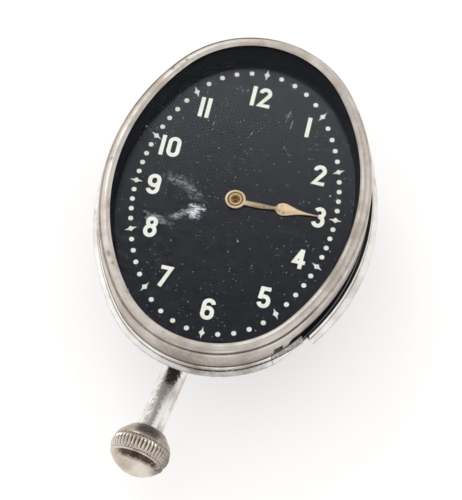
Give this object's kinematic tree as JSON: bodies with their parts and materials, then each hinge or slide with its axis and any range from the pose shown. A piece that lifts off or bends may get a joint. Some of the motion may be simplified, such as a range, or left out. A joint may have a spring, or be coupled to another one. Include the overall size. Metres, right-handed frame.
{
  "type": "dashboard clock",
  "caption": "Oval mechanical dashboard clock with a black dial, plated bezel and flange, one hour hand and a knurled winding crown on a long stem below the case.",
  "frame": {"origin": "middle of the flat rear cover, on the axis of the hands", "axes": "+Z out of the dial, +Y towards 12 o'clock, +X towards 3 o'clock; the clock lies on its rear cover"},
  "size_m": [0.0647, 0.1063, 0.0359],
  "materials": {
    "black_enamel": "worn black japan",
    "dial_black": "satin black",
    "nickel": "tarnished nickel plate",
    "glass": "clear flat glass",
    "luminous": "cream paint",
    "gilt": "gilt, spotted with age",
    "brass": "brass",
    "steel": "polished steel"
  },
  "bodies": {
    "case": {"case_body": "black_enamel", "rear_cover": "nickel", "bezel": "nickel", "flange_ring": "nickel", "crystal": "glass", "dial_ring": "dial_black", "dial": "dial_black", "minute_markers": "luminous", "minute_post": "steel", "main_plate": "brass", "back_plate": "brass", "pillars": "brass", "plate_screws": "steel", "crown_wheel_screw": "steel", "click_screw": "steel", "click_spring": "steel", "stem_bracket": "brass", "stem_tube": "nickel", "tube_boss": "black_enamel", "hairspring": "steel", "hairspring_stud": "steel"},
    "hour": {"hour_hand": "gilt", "hour_wheel": "brass"},
    "minute": {"minute_wheel": "brass"},
    "cannon": {"cannon_pinion": "brass"},
    "sleeve": {"stem_sleeve": "brass"},
    "stem": {"crown": "nickel", "winding_stem": "steel"},
    "winding_pinion": {"winding_pinion": "steel"},
    "crown_wheel": {"crown_wheel": "steel"},
    "ratchet": {"ratchet_wheel": "steel", "barrel_arbor": "steel"},
    "barrel": {"barrel": "brass", "barrel_lid": "brass", "mainspring": "steel"},
    "click": {"click": "steel"},
    "centre": {"centre_wheel": "brass"},
    "third": {"third_wheel": "brass"},
    "fourth": {"fourth_wheel": "brass"},
    "escape": {"escape_wheel": "steel"},
    "pallet": {"pallet_fork": "steel"},
    "balance": {"balance_wheel": "brass"}
  },
  "joints": [
    {"name": "hour_turn", "type": "hinge", "parent": "case", "child": "hour", "pos_m": [0, 0, 0.03], "axis": [0, 0, -1], "continuous": true},
    {"name": "cannon_turn", "type": "hinge", "parent": "case", "child": "cannon", "pos_m": [0, 0, 0.027], "axis": [0, 0, -1], "continuous": true},
    {"name": "minute_turn", "type": "hinge", "parent": "case", "child": "minute", "pos_m": [0.003, 0.0052, 0.027], "axis": [0, 0, -1], "continuous": true},
    {"name": "stem_pull", "type": "slide", "parent": "case", "child": "sleeve", "axis": [-0.1478, -0.989, 0], "range_m": [0, 0.0012]},
    {"name": "crown_turn", "type": "hinge", "parent": "sleeve", "child": "stem", "pos_m": [0, 0, 0.013], "axis": [-0.1478, -0.989, 0], "continuous": true},
    {"name": "winding_pinion_turn", "type": "hinge", "parent": "case", "child": "winding_pinion", "pos_m": [0, 0, 0.013], "axis": [-0.1478, -0.989, 0], "continuous": true},
    {"name": "crown_wheel_turn", "type": "hinge", "parent": "case", "child": "crown_wheel", "pos_m": [-0.00163, -0.01088, 0.0095], "axis": [0, 0, 1], "continuous": true},
    {"name": "ratchet_turn", "type": "hinge", "parent": "case", "child": "ratchet", "pos_m": [0.01132, -0.0019, 0.0095], "axis": [0, 0, 1], "continuous": true},
    {"name": "click_pivot", "type": "hinge", "parent": "case", "child": "click", "pos_m": [0.01712, 0.00901, 0.0095], "axis": [0, 0, 1], "range_deg": [-10, 0]},
    {"name": "fourth_turn", "type": "hinge", "parent": "case", "child": "fourth", "pos_m": [-0.01339, 0.00381, 0.015], "axis": [0, 0, 1], "continuous": true},
    {"name": "centre_turn", "type": "hinge", "parent": "case", "child": "centre", "pos_m": [0, 0, 0.02], "axis": [0, 0, 1], "continuous": true},
    {"name": "third_turn", "type": "hinge", "parent": "case", "child": "third", "pos_m": [-0.00636, 0.00636, 0.017], "axis": [0, 0, 1], "continuous": true},
    {"name": "escape_turn", "type": "hinge", "parent": "case", "child": "escape", "pos_m": [-0.01452, -0.00258, 0.013], "axis": [0, 0, 1], "continuous": true},
    {"name": "barrel_turn", "type": "hinge", "parent": "case", "child": "barrel", "pos_m": [0.01132, -0.0019, 0.015], "axis": [0, 0, 1], "continuous": true},
    {"name": "pallet_swing", "type": "hinge", "parent": "case", "child": "pallet", "pos_m": [-0.01269, -0.00602, 0.013], "axis": [0, 0, 1], "range_deg": [-5, 5]},
    {"name": "balance_swing", "type": "hinge", "parent": "case", "child": "balance", "pos_m": [-0.01006, -0.01096, 0.016], "axis": [0, 0, 1], "range_deg": [-160, 160]}
  ],
  "couplings": [
    {"joint": "cannon_turn", "follows": "hour_turn", "ratio": 12},
    {"joint": "minute_turn", "follows": "hour_turn", "ratio": -4},
    {"joint": "winding_pinion_turn", "follows": "crown_turn", "ratio": 1},
    {"joint": "crown_wheel_turn", "follows": "crown_turn", "ratio": 0.4},
    {"joint": "ratchet_turn", "follows": "crown_turn", "ratio": -0.3},
    {"joint": "centre_turn", "follows": "fourth_turn", "ratio": 0.016667},
    {"joint": "third_turn", "follows": "fourth_turn", "ratio": -0.13333},
    {"joint": "escape_turn", "follows": "fourth_turn", "ratio": -8},
    {"joint": "barrel_turn", "follows": "fourth_turn", "ratio": -0.0020833}
  ]
}
